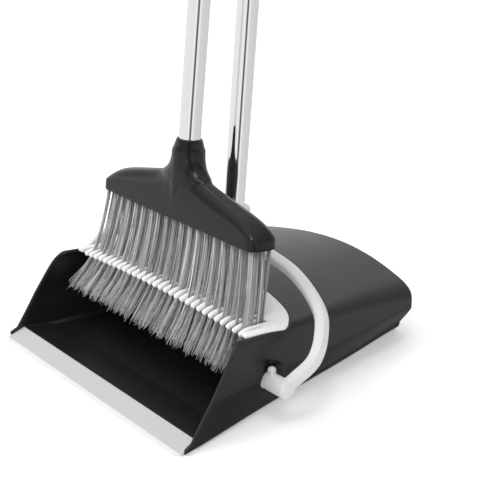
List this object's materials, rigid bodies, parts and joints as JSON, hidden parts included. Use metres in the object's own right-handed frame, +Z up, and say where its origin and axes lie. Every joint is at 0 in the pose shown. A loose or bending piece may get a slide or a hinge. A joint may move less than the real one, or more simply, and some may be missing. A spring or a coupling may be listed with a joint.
{
  "type": "dust pan and brush set",
  "caption": "Upright dust pan with a rubber lip and a bristle comb, a folding pole handle, and a long-handled broom that stands in it.",
  "frame": {"origin": "on the floor, in the middle of the pan, under the front line of its side walls", "axes": "+X across the mouth, +Y from the mouth to the rear of the pan, +Z up"},
  "size_m": [0.3374, 0.3654, 1.3748],
  "materials": {
    "black_shell": "satin moulded plastic",
    "grey_rubber": "soft matt rubber",
    "white_plastic": "white moulded plastic",
    "pale_plastic": "pale grey moulded plastic",
    "stud_plastic": "threaded plastic plug",
    "polished_steel": "polished steel tube",
    "white_coupler": "white moulded plastic",
    "black_grip": "satin black plastic",
    "black_clip": "satin black plastic",
    "black_head": "semi-gloss black plastic",
    "block_plastic": "black plastic",
    "bristle_fibre": "grey synthetic filament"
  },
  "bodies": {
    "pan": {"pan_shell": "black_shell", "lip_strip": "grey_rubber", "comb": "white_plastic"},
    "handle": {"yoke": "pale_plastic", "yoke_stud": "stud_plastic", "handle_tube_1": "polished_steel", "handle_tube_2": "polished_steel", "handle_tube_3": "polished_steel", "handle_coupler_1": "white_coupler", "handle_coupler_2": "white_coupler", "handle_stud_1": "stud_plastic", "handle_stud_2": "stud_plastic", "handle_grip": "black_grip", "storage_clip": "black_clip"},
    "broom": {"head_cover": "black_head", "bristle_block": "block_plastic", "head_stud": "stud_plastic", "bristles_front": "bristle_fibre", "bristles_middle": "bristle_fibre", "bristles_back": "bristle_fibre", "broom_tube_1": "polished_steel", "broom_tube_2": "polished_steel", "broom_tube_3": "polished_steel", "broom_tube_4": "polished_steel", "broom_coupler_1": "white_coupler", "broom_coupler_2": "white_coupler", "broom_coupler_3": "white_coupler", "broom_stud_1": "stud_plastic", "broom_stud_2": "stud_plastic", "broom_stud_3": "stud_plastic", "broom_grip": "black_grip"}
  },
  "joints": [
    {"name": "pan_fold", "type": "hinge", "parent": "pan", "child": "handle", "pos_m": [0, 0.09, 0.034], "axis": [1, 0, 0], "range_deg": [0, 96]},
    {"name": "broom_lift", "type": "slide", "parent": "handle", "child": "broom", "axis": [0, 0.1219, 0.9925], "range_m": [0, 0.15], "deforming": ["bristles_front", "bristles_middle", "bristles_back"]}
  ]
}
